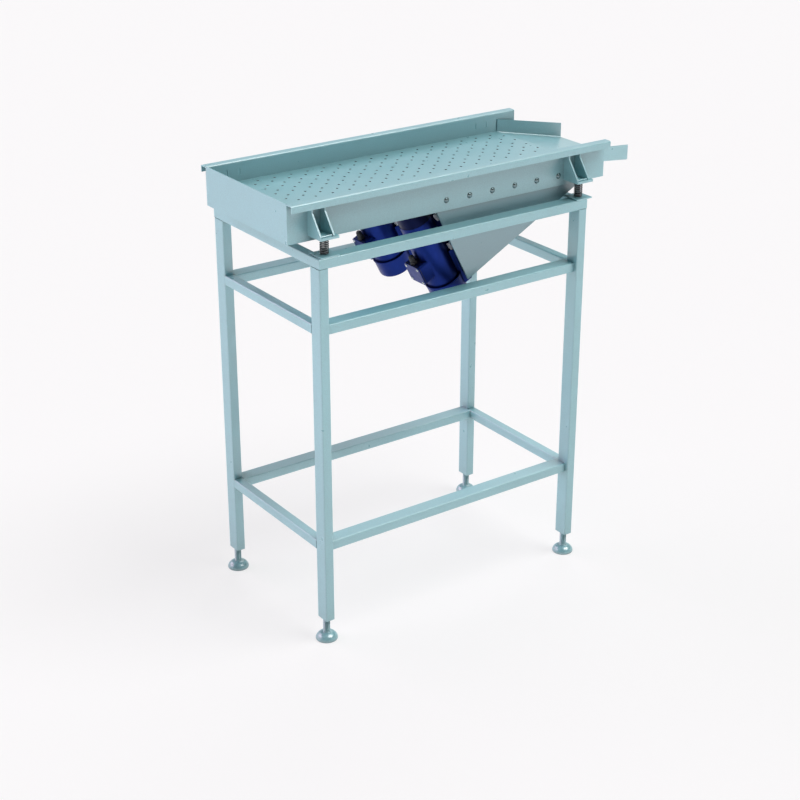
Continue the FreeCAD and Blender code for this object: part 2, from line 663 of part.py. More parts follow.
def motor_rod(radius, x0, x1):
    """Round bar along one motor's shaft line."""
    return rod(radius, Vec(x0, 0, SHAFT_HEIGHT), Vec(x1, 0, SHAFT_HEIGHT))


def terminal_box(grow, low_z, high_z):
    """Rounded block of the terminal box, grown or shrunk in plan."""
    half = TERMINAL_WIDTH / 2 + grow
    x0 = -TERMINAL_LOW - grow
    block = box(x0, x0 + TERMINAL_LENGTH + 2 * grow, -half, half, low_z, high_z)
    return rounded(block, TERMINAL_CORNER + grow, Vec(0, 0, 1))


def motor_housing():
    """Cast barrel with its feet and terminal box, bored for the stator and the bearings."""
    barrel = motor_rod(HOUSING_RADIUS, -HOUSING_LOW, HOUSING_HIGH)
    half = FOOT_LENGTH / 2
    feet = box(-half, half, -FOOT_WIDTH / 2, FOOT_WIDTH / 2, 0, FOOT_THICKNESS)
    feet = rounded(feet, FOOT_CORNER, Vec(0, 0, 1)).cut(foot_bolt_holes(0, FOOT_THICKNESS))
    pedestal_end = min(half, HOUSING_HIGH)
    pedestal = box(-half, pedestal_end, -PEDESTAL_WIDTH / 2, PEDESTAL_WIDTH / 2, 0, SHAFT_HEIGHT)
    terminal = terminal_box(0, TERMINAL_BASE, TERMINAL_TOP)
    terminal = terminal.cut(terminal_box(-TERMINAL_WALL, TERMINAL_FLOOR, TERMINAL_TOP))
    casting = joined([barrel, feet, pedestal, terminal])
    bore = motor_rod(BORE_RADIUS, HOUSING_END_WALL - HOUSING_LOW, HOUSING_HIGH - HOUSING_END_WALL)
    seats = motor_rod(BEARING_DIAMETER / 2, -HOUSING_LOW, HOUSING_HIGH)
    low_relief = motor_rod(HOUSING_RADIUS, -HOUSING_LOW - COVER_LENGTH, -HOUSING_LOW)
    high_relief = motor_rod(HOUSING_RADIUS, HOUSING_HIGH, HOUSING_HIGH + COVER_LENGTH)
    return casting.cut([bore, seats, low_relief, high_relief])


def end_cover(start_x, direction):
    """Round cup over the eccentric weight at one end of a motor."""
    radius = COVER_RADIUS
    corner = COVER_CORNER
    sheet = COVER_SHEET
    flat = radius - corner
    bend = COVER_LENGTH - corner
    diagonal = math.sqrt(0.5)

    def middle(size):
        return Vec(flat + size * diagonal, 0, bend + size * diagonal)

    return turned([
        line(Vec(radius, 0, 0), Vec(radius, 0, bend)),
        arc(Vec(radius, 0, bend), middle(corner), Vec(flat, 0, COVER_LENGTH)),
        line(Vec(flat, 0, COVER_LENGTH), Vec(0, 0, COVER_LENGTH)),
        line(Vec(0, 0, COVER_LENGTH), Vec(0, 0, COVER_LENGTH - sheet)),
        line(Vec(0, 0, COVER_LENGTH - sheet), Vec(flat, 0, COVER_LENGTH - sheet)),
        arc(Vec(flat, 0, COVER_LENGTH - sheet), middle(corner - sheet), Vec(radius - sheet, 0, bend)),
        line(Vec(radius - sheet, 0, bend), Vec(radius - sheet, 0, 0)),
        line(Vec(radius - sheet, 0, 0), Vec(radius, 0, 0)),
    ], Vec(start_x, 0, SHAFT_HEIGHT), Vec(direction, 0, 0))


def cable_gland():
    """Hexagonal gland body with a rounded cap, on the upper face of the terminal box."""
    seat = Vec(TERMINAL_LENGTH - TERMINAL_LOW, 0, GLAND_HEIGHT)
    axis = Vec(1, 0, 0)
    radius = GLAND_CAP_DIAMETER / 2
    bore = GLAND_BORE / 2
    shoulder = GLAND_CAP_LENGTH - GLAND_CAP_ROUND
    bend = GLAND_CAP_ROUND * math.sqrt(0.5)
    cap = turned([
        line(Vec(bore, 0, 0), Vec(radius, 0, 0)),
        line(Vec(radius, 0, 0), Vec(radius, 0, shoulder)),
        arc(
            Vec(radius, 0, shoulder), Vec(radius - GLAND_CAP_ROUND + bend, 0, shoulder + bend),
            Vec(radius - GLAND_CAP_ROUND, 0, GLAND_CAP_LENGTH),
        ),
        line(Vec(radius - GLAND_CAP_ROUND, 0, GLAND_CAP_LENGTH), Vec(bore, 0, GLAND_CAP_LENGTH)),
        line(Vec(bore, 0, GLAND_CAP_LENGTH), Vec(bore, 0, 0)),
    ], seat + axis * GLAND_NUT_LENGTH, axis)
    body = hexagon(GLAND_NUT_WIDTH, GLAND_NUT_LENGTH, seat, axis)
    body = body.cut(rod(bore, seat, seat + axis * GLAND_NUT_LENGTH))
    return joined([body, cap])


def eccentric_weight(start_x):
    """Half disc with a round hub, clamped on the shaft and hanging away from the motor plate."""
    end_x = start_x + WEIGHT_THICKNESS
    disc = motor_rod(WEIGHT_RADIUS, start_x, end_x)
    plate_half = box(
        start_x, end_x, -WEIGHT_RADIUS, WEIGHT_RADIUS, SHAFT_HEIGHT - WEIGHT_RADIUS, SHAFT_HEIGHT,
    )
    hub = motor_rod(WEIGHT_HUB_RADIUS, start_x, end_x)
    return joined([disc.cut(plate_half), hub]).cut(motor_rod(SHAFT_DIAMETER / 2, start_x, end_x))


def make_motors(nodes):
    """Both vibrator motors with what turns inside them, and the bolts that hold them."""
    shaft = SHAFT_DIAMETER / 2
    core = CORE_DIAMETER / 2
    low_end = -HOUSING_LOW - COVER_LENGTH + COVER_SHEET + SHAFT_END_GAP
    high_end = HOUSING_HIGH + COVER_LENGTH - COVER_SHEET - SHAFT_END_GAP
    core_x0 = CORE_X - CORE_LENGTH / 2
    core_x1 = CORE_X + CORE_LENGTH / 2
    bearing_bore = shaft + RUNNING_GAP
    seat_gap = (HOUSING_END_WALL - BEARING_WIDTH) / 2
    bearing_starts = (-HOUSING_LOW + seat_gap, HOUSING_HIGH - seat_gap - BEARING_WIDTH)
    weight_starts = (-HOUSING_LOW - WEIGHT_STANDOFF - WEIGHT_THICKNESS, HOUSING_HIGH + WEIGHT_STANDOFF)
    bearings = []
    bolts = []
    nuts = []
    for side_name, side in SIDES.items():
        placement = motor_placement(side)
        stator = motor_rod(BORE_RADIUS, core_x0, core_x1).cut(motor_rod(core + AIR_GAP, core_x0, core_x1))
        rotor = joined([motor_rod(shaft, low_end, high_end), motor_rod(core, core_x0, core_x1)])
        pieces = {
            "motor_housing": motor_housing(),
            "lower_cover": end_cover(-HOUSING_LOW, -1),
            "upper_cover": end_cover(HOUSING_HIGH, 1),
            "terminal_lid": terminal_box(0, TERMINAL_TOP, TERMINAL_TOP + LID_THICKNESS),
            "cable_gland": cable_gland(),
            "stator": stator,
            "rotor": rotor,
            "eccentric_weights": Part.makeCompound([eccentric_weight(x) for x in weight_starts]),
        }
        for name, shape in pieces.items():
            nodes["%s_%s" % (name, side_name)] = in_place(shape, placement)
        for x in bearing_starts:
            ring = motor_rod(BEARING_DIAMETER / 2, x, x + BEARING_WIDTH)
            bearings.append(in_place(ring.cut(motor_rod(bearing_bore, x, x + BEARING_WIDTH)), placement))
        for seat in foot_bolt_places():
            bolts.append(in_place(foot_bolt(seat), placement))
            nuts.append(in_place(foot_nut(seat), placement))
    nodes["motor_bearings"] = Part.makeCompound(bearings)
    nodes["motor_bolts"] = Part.makeCompound(bolts)
    nodes["motor_nuts"] = Part.makeCompound(nuts)


def foot_bolt(place):
    """Hexagon-headed bolt through a motor foot and the motor plate."""
    seat = place + Vec(0, 0, FOOT_THICKNESS)
    tail = place - Vec(0, 0, MOTOR_PLATE_SHEET + FOOT_NUT_HEIGHT + BOLT_TAIL)
    head = hexagon(FOOT_BOLT_HEAD_WIDTH, FOOT_BOLT_HEAD_HEIGHT, seat, Vec(0, 0, 1))
    return joined([head, rod(FOOT_BOLT_DIAMETER / 2, tail, seat)])


def foot_nut(place):
    """Hexagonal nut behind the motor plate."""
    seat = place - Vec(0, 0, MOTOR_PLATE_SHEET)
    down = Vec(0, 0, -1)
    nut = hexagon(FOOT_BOLT_HEAD_WIDTH, FOOT_NUT_HEIGHT, seat, down)
    return nut.cut(rod(FOOT_BOLT_DIAMETER / 2, seat, seat + down * FOOT_NUT_HEIGHT))


def main():
    nodes = {}
    make_stand(nodes)
    make_feet(nodes)
    make_springs(nodes)
    make_tray(nodes)
    make_motor_bracket(nodes)
    make_motors(nodes)
    os.makedirs("parts", exist_ok=True)
    for name, shape in nodes.items():
        shape.exportStep("parts/%s.step" % name)


main()
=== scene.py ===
import json
import math
from functools import partial

import bmesh
import bpy
from mathutils import Matrix, Vector


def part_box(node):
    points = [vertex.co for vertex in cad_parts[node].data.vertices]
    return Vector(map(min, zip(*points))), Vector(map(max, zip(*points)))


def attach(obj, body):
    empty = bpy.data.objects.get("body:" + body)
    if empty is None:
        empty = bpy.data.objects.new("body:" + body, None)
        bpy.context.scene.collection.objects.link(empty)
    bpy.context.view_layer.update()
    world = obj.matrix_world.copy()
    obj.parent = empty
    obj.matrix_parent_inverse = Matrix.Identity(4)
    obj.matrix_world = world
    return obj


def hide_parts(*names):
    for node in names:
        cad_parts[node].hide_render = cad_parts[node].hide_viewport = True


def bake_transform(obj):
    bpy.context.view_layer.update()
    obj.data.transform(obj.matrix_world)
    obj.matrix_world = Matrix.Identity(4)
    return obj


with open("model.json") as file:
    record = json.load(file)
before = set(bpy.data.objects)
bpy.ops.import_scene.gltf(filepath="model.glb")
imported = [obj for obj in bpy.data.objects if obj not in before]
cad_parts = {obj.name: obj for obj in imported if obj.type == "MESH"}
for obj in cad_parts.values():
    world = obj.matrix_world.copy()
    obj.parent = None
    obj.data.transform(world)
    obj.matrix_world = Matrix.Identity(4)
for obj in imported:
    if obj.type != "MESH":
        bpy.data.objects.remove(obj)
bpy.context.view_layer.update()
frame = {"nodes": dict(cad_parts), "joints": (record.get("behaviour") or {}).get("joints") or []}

NODES = frame["nodes"]
JOINTS = {joint["name"]: joint for joint in frame["joints"]}
CORNERS = ("front_left", "front_right", "back_left", "back_right")

# Camera of the photograph: metres in the part's frame, degrees, and millimetres of lens and sensor
CAMERA_EYE = (-2.3974, -3.2509, 2.2674)
CAMERA_AZIMUTH = -35.3
CAMERA_ELEVATION = 24.21
CAMERA_LENS = 75.0
CAMERA_SENSOR = 36.0
CAMERA_REACH = 200.0

# Colours, linear
TEAL = (0.265, 0.555, 0.605, 1)
# Painted shade: the enamel darker and greyer, as it lies in the shade under the tray
SHADED_TEAL = (0.222, 0.420, 0.475, 1)
BOLT_STEEL = (0.200, 0.270, 0.280, 1)
NAVY = (0.0105, 0.0285, 0.1900, 1)
# Painted shade: the motor enamel much darker, as it lies in the shade under the tray
SHADED_NAVY = (0.0060, 0.0100, 0.0500, 1)
SPRING_STEEL = (0.200, 0.205, 0.212, 1)
ZINC = (0.66, 0.69, 0.71, 1)
# Painted highlight: pale, barely metallic zinc, for the bright reflection on the motor bolts' heads
GLINT_ZINC = (0.82, 0.84, 0.86, 1)
# Painted shade: near-black steel for the spigots, for the shade inside the springs
SPIGOT_SHADE_STEEL = (0.030, 0.031, 0.033, 1)
CORE_STEEL = (0.20, 0.20, 0.21, 1)
GLAND_BLACK = (0.012, 0.012, 0.014, 1)
SEAL_GREY = (0.05, 0.05, 0.055, 1)

# Painted shade in corners: how far from them it shows, and how dark it leaves them
PAINT_SHADE = (0.16, 0.50)
BRACKET_SHADE = (0.16, 0.85)
CASTING_SHADE = (0.08, 0.45)
COIL_SHADE = (0.012, 0.03)
SHADE_SAMPLES = 8
SHADE_SPAN = (0.25, 0.90)

# Painted shade on the stand, darker towards the floor: its level near the floor, and the heights between
# which it fades
LOW_SHADE_LEVEL = 0.86
LOW_SHADE_HEIGHTS = (0.10, 0.75)

# Walls of the deck's holes: their painted shade, and the squared slopes between which a face becomes a wall
HOLE_SHADE_LEVEL = 0.03
HOLE_SLOPES = (0.2, 0.8)

# Scale of the enamel's grain, and the relief of fine grains, in metres
PAINT_GRAIN = 420.0
FINE_RELIEF = 0.00002
CASTING_RELIEF = 0.00010


class Nodes:
    """A material's node tree with a Principled shader, and short ways to add to it."""

    def __init__(self, name):
        self.material = bpy.data.materials.new(name)
        self.material.use_nodes = True
        self.tree = self.material.node_tree
        self.shader = self.tree.nodes["Principled BSDF"]
        self.place = self.add("ShaderNodeTexCoord").outputs["Object"]

    def add(self, kind, **inputs):
        """New node, with constants on the named inputs."""
        node = self.tree.nodes.new(kind)
        for name, value in inputs.items():
            node.inputs[name.replace("_", " ")].default_value = value
        return node

    def link(self, a, b):
        self.tree.links.new(a, b)

    def set(self, **sockets):
        """Constants on the shader's own sockets."""
        for name, value in sockets.items():
            self.shader.inputs[name.replace("_", " ")].default_value = value

    def noise(self, scale, detail=2.0, rough=0.5):
        node = self.add("ShaderNodeTexNoise", Scale=scale, Detail=detail, Roughness=rough)
        self.link(self.place, node.inputs["Vector"])
        return node.outputs["Fac"]

    def spread(self, value, low, high, start=0.25, end=0.75):
        """The value, brought from the range start to end into the range low to high."""
        node = self.add("ShaderNodeMapRange", From_Min=start, From_Max=end, To_Min=low, To_Max=high)
        self.link(value, node.inputs["Value"])
        return node.outputs["Result"]

    def times(self, a, b):
        node = self.add("ShaderNodeMath")
        node.operation = "MULTIPLY"
        self.link(a, node.inputs[0])
        self.link(b, node.inputs[1])
        return node.outputs[0]

    def part(self, vector, axis):
        """One coordinate of a vector."""
        node = self.add("ShaderNodeSeparateXYZ")
        self.link(vector, node.inputs[0])
        return node.outputs[axis]

    def painted_shade(self, reach, level):
        """A factor that falls to level in corners and behind edges, as painted shade where less light
        reaches.
        """
        node = self.add("ShaderNodeAmbientOcclusion", Distance=reach)
        node.samples = SHADE_SAMPLES
        return self.spread(node.outputs["AO"], level, 1.0, *SHADE_SPAN)

    def shade(self, colour, value):
        """The colour, made darker or lighter by a factor."""
        node = self.add("ShaderNodeHueSaturation", Color=colour)
        self.link(value, node.inputs["Value"])
        self.link(node.outputs["Color"], self.shader.inputs["Base Color"])

    def gloss(self, value):
        self.link(value, self.shader.inputs["Roughness"])

    def bump(self, value, depth):
        node = self.add("ShaderNodeBump", Strength=1.0, Distance=depth)
        self.link(value, node.inputs["Height"])
        self.link(node.outputs["Normal"], self.shader.inputs["Normal"])


def satin_paint(name, colour, painted_shade=PAINT_SHADE, shaded_hole_walls=False, shaded_low=False):
    """Sprayed enamel on steel: a fine grain, with faint clouds in the colour and the gloss, and painted shade
    in corners.
    """
    m = Nodes(name)
    m.set(IOR=2.33, Metallic=0.0)
    clouds = m.spread(m.noise(6.0, detail=3.0), low=0.97, high=1.03)
    grain = m.noise(PAINT_GRAIN, rough=0.7)
    # Painted shade in corners and behind edges
    tone = m.times(m.times(clouds, m.spread(grain, low=0.90, high=1.10)), m.painted_shade(*painted_shade))
    if shaded_low:
        # Painted shade, darker towards the floor
        height = m.part(m.place, "Z")
        tone = m.times(tone, m.spread(height, LOW_SHADE_LEVEL, 1.0, *LOW_SHADE_HEIGHTS))
    if shaded_hole_walls:
        # Painted shade on the steep walls of the deck's holes
        slope = m.part(m.add("ShaderNodeNewGeometry").outputs["True Normal"], "Z")
        tone = m.times(tone, m.spread(m.times(slope, slope), HOLE_SHADE_LEVEL, 1.0, *HOLE_SLOPES))
    m.shade(colour, tone)
    m.gloss(m.spread(m.noise(38.0, detail=3.0), low=0.27, high=0.35))
    m.bump(grain, FINE_RELIEF)
    return m.material


def motor_paint(name, colour):
    """Metallic enamel over a casting: the skin of the sand shows through it, with painted shade in its
    corners.
    """
    m = Nodes(name)
    m.set(Metallic=0.92, IOR=1.4)
    clouds = m.spread(m.noise(24.0, detail=3.0), low=0.85, high=1.15)
    # Painted shade in the casting's corners
    m.shade(colour, m.times(clouds, m.painted_shade(*CASTING_SHADE)))
    m.gloss(m.spread(m.noise(70.0, detail=3.0), low=0.30, high=0.42))
    m.bump(m.noise(210.0, detail=3.0, rough=0.6), CASTING_RELIEF)
    return m.material


def bare_steel(name, colour, rough, grain, metal=1.0, coiled=False):
    """Steel with a fine grain, a little blotchy, and in a coil darkened between its turns as painted shade.
    """
    m = Nodes(name)
    m.set(Metallic=metal)
    tone = m.spread(m.noise(120.0, detail=3.0), low=0.85, high=1.12)
    if coiled:
        # Painted shade inside the coil, between its turns
        tone = m.times(tone, m.painted_shade(*COIL_SHADE))
    m.shade(colour, tone)
    m.gloss(m.spread(m.noise(260.0, detail=3.0), low=rough - 0.06, high=rough + 0.08))
    m.bump(m.noise(grain), FINE_RELIEF)
    return m.material


def moulded_plastic(name, colour):
    """Moulded plastic with a fine spark-eroded skin."""
    m = Nodes(name)
    m.set(IOR=1.5)
    m.shade(colour, m.spread(m.noise(90.0), low=0.9, high=1.2))
    m.gloss(m.spread(m.noise(150.0), low=0.42, high=0.55))
    m.bump(m.noise(900.0), FINE_RELIEF)
    return m.material


# The finish of each of the record's material slots, and the nodes that take each slot
FINISHES = {
    "stand_paint": satin_paint("stand_paint", TEAL, shaded_low=True),
    "tray_paint": satin_paint("tray_paint", TEAL),
    "motor_paint": motor_paint("motor_paint", NAVY),
    "spring_steel": bare_steel("spring_steel", SPRING_STEEL, rough=0.32, grain=700.0, coiled=True),
    "zinc_steel": bare_steel("zinc_steel", ZINC, rough=0.24, grain=900.0),
    "core_steel": bare_steel("core_steel", CORE_STEEL, rough=0.45, grain=500.0),
    "gland_plastic": moulded_plastic("gland_plastic", GLAND_BLACK),
}
SLOT_STARTS = {
    "stand_paint": ("leg_", "low_rail", "mid_rail", "ring_", "spring_seats", "foot_"),
    "tray_paint": ("front_wall", "back_wall", "end_plate", "screen_deck", "discharge_spout",
                   "bracket_plates", "bracket_gussets", "side_plate", "motor_plate"),
    "motor_paint": ("motor_housing", "lower_cover", "upper_cover", "terminal_lid"),
    "spring_steel": ("spring_front", "spring_back"),
    "zinc_steel": ("wall_bolts", "wall_nuts", "motor_bolts", "motor_nuts", "motor_bearings", "leg_nut",
                   "seat_spigots", "bracket_spigots"),
    "core_steel": ("stator", "rotor", "eccentric"),
    "gland_plastic": ("cable_gland",),
}

# Nodes whose surface differs from the rest of their slot; a later line goes over an earlier one
# Brackets: the same enamel with a lighter painted shade in their corners
BRACKET_PAINT = satin_paint("bracket_paint", TEAL, painted_shade=BRACKET_SHADE)
# Spigots: near-black steel as painted shade inside the springs
SPIGOT_STEEL = bare_steel("spigot_shade_steel", SPIGOT_SHADE_STEEL, rough=0.40, grain=700.0)
SEAL_RUBBER = moulded_plastic("seal_rubber", SEAL_GREY)
OTHER_FINISHES = {
    "screen_deck": satin_paint("deck_paint", TEAL, shaded_hole_walls=True),
    "bracket_": BRACKET_PAINT,
    # Side plates: painted shade, the same enamel darker and greyer under the tray
    "side_plate": satin_paint("shaded_side_paint", SHADED_TEAL),
    # Upper covers: painted shade, the motor enamel much darker under the tray
    "upper_cover": motor_paint("shaded_cover_paint", SHADED_NAVY),
    "wall_bolts": bare_steel("bolt_steel", BOLT_STEEL, rough=0.22, grain=900.0),
    # Motor bolts: pale, barely metallic zinc as a painted highlight on their heads
    "motor_bolts": bare_steel("glint_zinc", GLINT_ZINC, rough=0.24, grain=900.0, metal=0.3),
    "seat_spigots": SPIGOT_STEEL,
    "bracket_spigots": SPIGOT_STEEL,
}


def slot_of(name):
    """The material slot that a CAD node takes."""
    for slot, starts in SLOT_STARTS.items():
        if name.startswith(starts):
            return slot


def dress(piece, material):
    piece.data.materials.clear()
    piece.data.materials.append(material)


for node_name, node in NODES.items():
    dress(node, FINISHES[slot_of(node_name)])
    for start, material in OTHER_FINISHES.items():
        if node_name.startswith(start):
            dress(node, material)


# Shared shapes
SHARP_ANGLE = math.radians(32)


def link_object(name, data):
    piece = bpy.data.objects.new(name, data)
    bpy.context.scene.collection.objects.link(piece)
    return piece


def mesh_of(name, bm):
    mesh = bpy.data.meshes.new(name)
    bm.to_mesh(mesh)
    bm.free()
    return mesh


def new_piece(name, bm, slot, material=None):
    """Object made from a bmesh, shaded smooth, in one of the record's material slots."""
    bmesh.ops.recalc_face_normals(bm, faces=bm.faces)
    mesh = mesh_of(name, bm)
    mesh.shade_smooth()
    mesh.set_sharp_from_angle(angle=SHARP_ANGLE)
    piece = link_object(name, mesh)
    dress(piece, material or FINISHES[slot])
    return piece


def skin(bm, rings, closed=True):
    """Faces between neighbouring rings of vertices, and where closed, a cap on the first and last ring."""
    for a, b in zip(rings, rings[1:]):
        for k in range(len(a)):
            n = (k + 1) % len(a)
            bm.faces.new((a[k], b[k], b[n], a[n]))
    if closed:
        bm.faces.new(list(reversed(rings[0])))
        bm.faces.new(rings[-1])


def ring(bm, place, radius, height, sides, swell=None):
    """Ring of vertices round the place's Z axis; swell(angle) may scale its radius."""
    verts = []
    for k in range(sides):
        angle = 2 * math.pi * k / sides
        r = radius * swell(angle) if swell else radius
        verts.append(bm.verts.new(place @ Vector((r * math.cos(angle), r * math.sin(angle), height))))
    return verts


def turned(bm, place, profile, sides, shape=None):
    """Round form from (radius, height) pairs; shape(angle, index=) may scale the radius of a ring."""
    rings = []
    for index, (radius, height) in enumerate(profile):
        swell = partial(shape, index=index) if shape else None
        rings.append(ring(bm, place, radius, height, sides, swell))
    skin(bm, rings)


def hoop(bm, place, section, sides):
    """Open hoop round the place's Z axis, from the (radius, height) pairs of its section."""
    rings = [ring(bm, place, radius, height, sides) for radius, height in section]
    skin(bm, rings + rings[:1], closed=False)


def arc(centre, radius, angles):
    """Points on an arc, at angles in degrees."""
    return tuple(
        (centre[0] + radius * math.cos(math.radians(a)), centre[1] + radius * math.sin(math.radians(a)))
        for a in angles
    )


# Springs: round wire, with the end turns closed and ground flat
SPRING_WIRE = 0.0032
SPRING_TURNS = 8.5
SPRING_CLOSED_TURNS = 1.1
SPRING_LAY = 0.92 * SPRING_WIRE
SPRING_GROUND = 0.2 * SPRING_WIRE
SPRING_SIDES = 14
SPRING_STEPS = 44


def coil(name, low, high):
    """One coil spring between two heights, with its last turn at each end lying closed."""
    centre = (low + high) / 2
    wire = SPRING_WIRE / 2
    radius = (high.y - low.y) / 2 - wire
    count = int(SPRING_TURNS * SPRING_STEPS)
    closed = SPRING_CLOSED_TURNS / SPRING_TURNS
    floor = low.z + SPRING_GROUND
    roof = high.z - SPRING_GROUND
    rings = []
    bm = bmesh.new()
    for i in range(count + 1):
        t = i / count
        angle = 2 * math.pi * SPRING_TURNS * t
        rise = min(max((t - closed) / (1 - 2 * closed), 0.0), 1.0)
        z = floor + SPRING_LAY * min(t / closed, 1.0) + rise * (roof - floor - 2 * SPRING_LAY)
        z += SPRING_LAY * max((t - 1 + closed) / closed, 0.0)
        out = Vector((math.cos(angle), math.sin(angle), 0))
        middle = Vector((centre.x, centre.y, z)) + out * radius
        turn = []
        for k in range(SPRING_SIDES):
            a = 2 * math.pi * k / SPRING_SIDES
            p = middle + out * wire * math.cos(a) + Vector((0, 0, wire * math.sin(a)))
            p.z = min(max(p.z, low.z), high.z)
            turn.append(bm.verts.new(p))
        rings.append(turn)
    skin(bm, rings)
    return new_piece(name, bm, "spring_steel")


for corner in CORNERS:
    node_name = "spring_" + corner
    low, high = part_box(node_name)
    spring = coil("coil_" + corner, low, high)
    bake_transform(spring)
    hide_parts(node_name)


# Brackets: a low web across each pair of gussets, standing on the base plate
WEB_SPAN = (-0.0209, 0.0099)
WEB_SETBACK = 0.0045
WEB_SHEET = 0.0040
WEB_HEIGHT = 0.0036
WEB_EDGE = 0.0009
WEB_GAP = 0.0001


def bar(bm, low, high, edge):
    """Straight bar with broken edges, lying along X."""
    rings = []
    for x, grow in ((low.x, edge), (low.x + edge, 0.0), (high.x - edge, 0.0), (high.x, edge)):
        outline = [
            (low.y + grow, low.z + edge), (low.y + edge, low.z + grow), (high.y - edge, low.z + grow),
            (high.y - grow, low.z + edge), (high.y - grow, high.z - edge), (high.y - edge, high.z - grow),
            (low.y + edge, high.z - grow), (low.y + grow, high.z - edge),
        ]
        rings.append([bm.verts.new((x, y, z)) for y, z in outline])
    skin(bm, rings)


web_mesh = bmesh.new()
plates_low, plates_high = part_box("bracket_plates")
for corner in CORNERS:
    low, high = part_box("spring_" + corner)
    spring_x = (low.x + high.x) / 2
    if corner.startswith("front"):
        web_y = plates_low.y + WEB_SETBACK
    else:
        web_y = plates_high.y - WEB_SETBACK - WEB_SHEET
    bar(
        web_mesh,
        Vector((spring_x + WEB_SPAN[0], web_y, plates_high.z + WEB_GAP)),
        Vector((spring_x + WEB_SPAN[1], web_y + WEB_SHEET, plates_high.z + WEB_HEIGHT)),
        WEB_EDGE,
    )
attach(new_piece("bracket_webs", web_mesh, "tray_paint", BRACKET_PAINT), "tray")


# Levelling feet: a spun pad with a rolled rim, on a threaded stem
PAD_RIM = ((0.0255, 0.0), (0.0274, 0.0006), (0.0280, 0.0020), (0.0280, 0.0046))
PAD_DOME = arc((0.0072, -0.0015), 0.0218, (22, 30, 40, 50, 60, 70, 80))
PAD_COLLAR = ((0.0096, 0.0202), (0.0090, 0.0208))
STEM_RADIUS = 0.0090
STEM_CHAMFER = 0.0010
THREAD_START = 0.0214
THREAD_PITCH = 0.0025
THREAD_DEPTH = 0.0011
THREAD_STEPS = 8
FOOT_SIDES = 40


def thread_swell(angle, height, fade):
    """Share of the stem's radius that the thread leaves at an angle and height."""
    turn = (height / THREAD_PITCH - angle / (2 * math.pi)) % 1.0
    return 1.0 - THREAD_DEPTH / STEM_RADIUS * fade * (1 - abs(2 * turn - 1))


def levelling_foot(name, low, high):
    """Domed pad with a stem whose thread runs up into the leg."""
    centre = (low + high) / 2
    base = Matrix.Translation((centre.x, centre.y, low.z))
    bm = bmesh.new()
    rings = [ring(bm, base, radius, height, FOOT_SIDES) for radius, height in PAD_RIM + PAD_DOME + PAD_COLLAR]
    top = high.z - low.z
    rows = int((top - STEM_CHAMFER - THREAD_START) / THREAD_PITCH * THREAD_STEPS)
    for row in range(rows + 1):
        height = THREAD_START + row * THREAD_PITCH / THREAD_STEPS
        fade = min(1.0, row / (2 * THREAD_STEPS), (rows - row) / THREAD_STEPS)
        swell = partial(thread_swell, height=height, fade=fade)
        rings.append(ring(bm, base, STEM_RADIUS, height, FOOT_SIDES, swell))
    rings.append(ring(bm, base, STEM_RADIUS - STEM_CHAMFER, top, FOOT_SIDES))
    skin(bm, rings)
    return new_piece(name, bm, "stand_paint")


for corner in CORNERS:
    node_name = "foot_" + corner
    foot = levelling_foot("levelling_foot_" + corner, *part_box(node_name))
    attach(foot, "foot_" + corner)
    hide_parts(node_name)


# Motor details, drawn along each motor's shaft: x up the shaft, y across, z out from the motor plate
SHAFT_HEIGHT = 0.054
LID_X = (-0.100, -0.045)
LID_HALF = 0.030
LID_TOP = 0.119 - SHAFT_HEIGHT
LID_SEAM = 0.115 - SHAFT_HEIGHT
LID_CORNER = 0.008
LID_CORNER_STEPS = 8
FOOT_TOP = 0.014 - SHAFT_HEIGHT
FOOT_BOLTS = [(x, y) for x in (-0.046, 0.046) for y in (-0.0415, 0.0415)]
COVER_ENDS = ((-0.182, -1), (0.10659, 1))

# Screws: radius and height of the head, and its rings as shares of them, the last two being the socket
LID_SCREW = (0.0036, 0.0022)
LID_SCREW_INSET = 0.007
COVER_SCREW = (0.0050, 0.0034)
COVER_SCREW_CIRCLE = 0.030
SCREW_RINGS = ((1.0, 0.0), (1.0, 0.25), (0.93, 0.6), (0.76, 0.9), (0.62, 1.0), (0.42, 1.0), (0.40, 0.4))
SOCKET_RING = 5
SCREW_SIDES = 36

# Washers under the foot bolts: inner and outer radius, height, and the share of it that the edge takes
WASHER = (0.0066, 0.0118, 0.0020)
WASHER_EDGE = 0.3
WASHER_SIDES = 40

# Saddle of the casting: places along the shaft with the half width there, and half of its section
BASE_STEPS = ((-0.168, 0.0350), (-0.165, 0.0378), (-0.142, 0.0384), (-0.133, 0.0580), (-0.131, 0.0590),
              (-0.0640, 0.0590), (-0.0623, 0.0580))
BASE_FLANGE = ((0.0590, -SHAFT_HEIGHT + 0.0002), (0.0590, -0.0420), (0.0584, -0.0406), (0.0570, -0.0400),
               (0.0420, -0.0400), (0.0375, -0.0380), (0.0345, -0.0345), (0.0330, -0.0300), (0.0312, -0.0272))
BASE_HOLLOW = arc((0, 0), 0.0412, (-50, -60, -70, -80, -86.5))
BASE_SQUEEZE = 0.02

# Flanged band round the lower cover: its place on the shaft, and its section down from there
BAND_TOP = -0.1300
BAND_SECTION = ((0.0420, 0.0002), (0.0480, 0.0002), (0.0486, 0.0008), (0.0486, 0.0044), (0.0482, 0.0050),
                (0.0473, 0.0054), (0.0472, 0.0064), (0.0472, 0.0440), (0.0466, 0.0478), (0.0452, 0.0500),
                (0.0435, 0.0510), (0.0420, 0.0512))
BAND_SIDES = 72

# Gasket under the terminal lid: how far it stands proud and reaches in, and half its thickness
GASKET_PROUD = 0.0004
GASKET_DEPTH = 0.002
GASKET_HALF = 0.0006

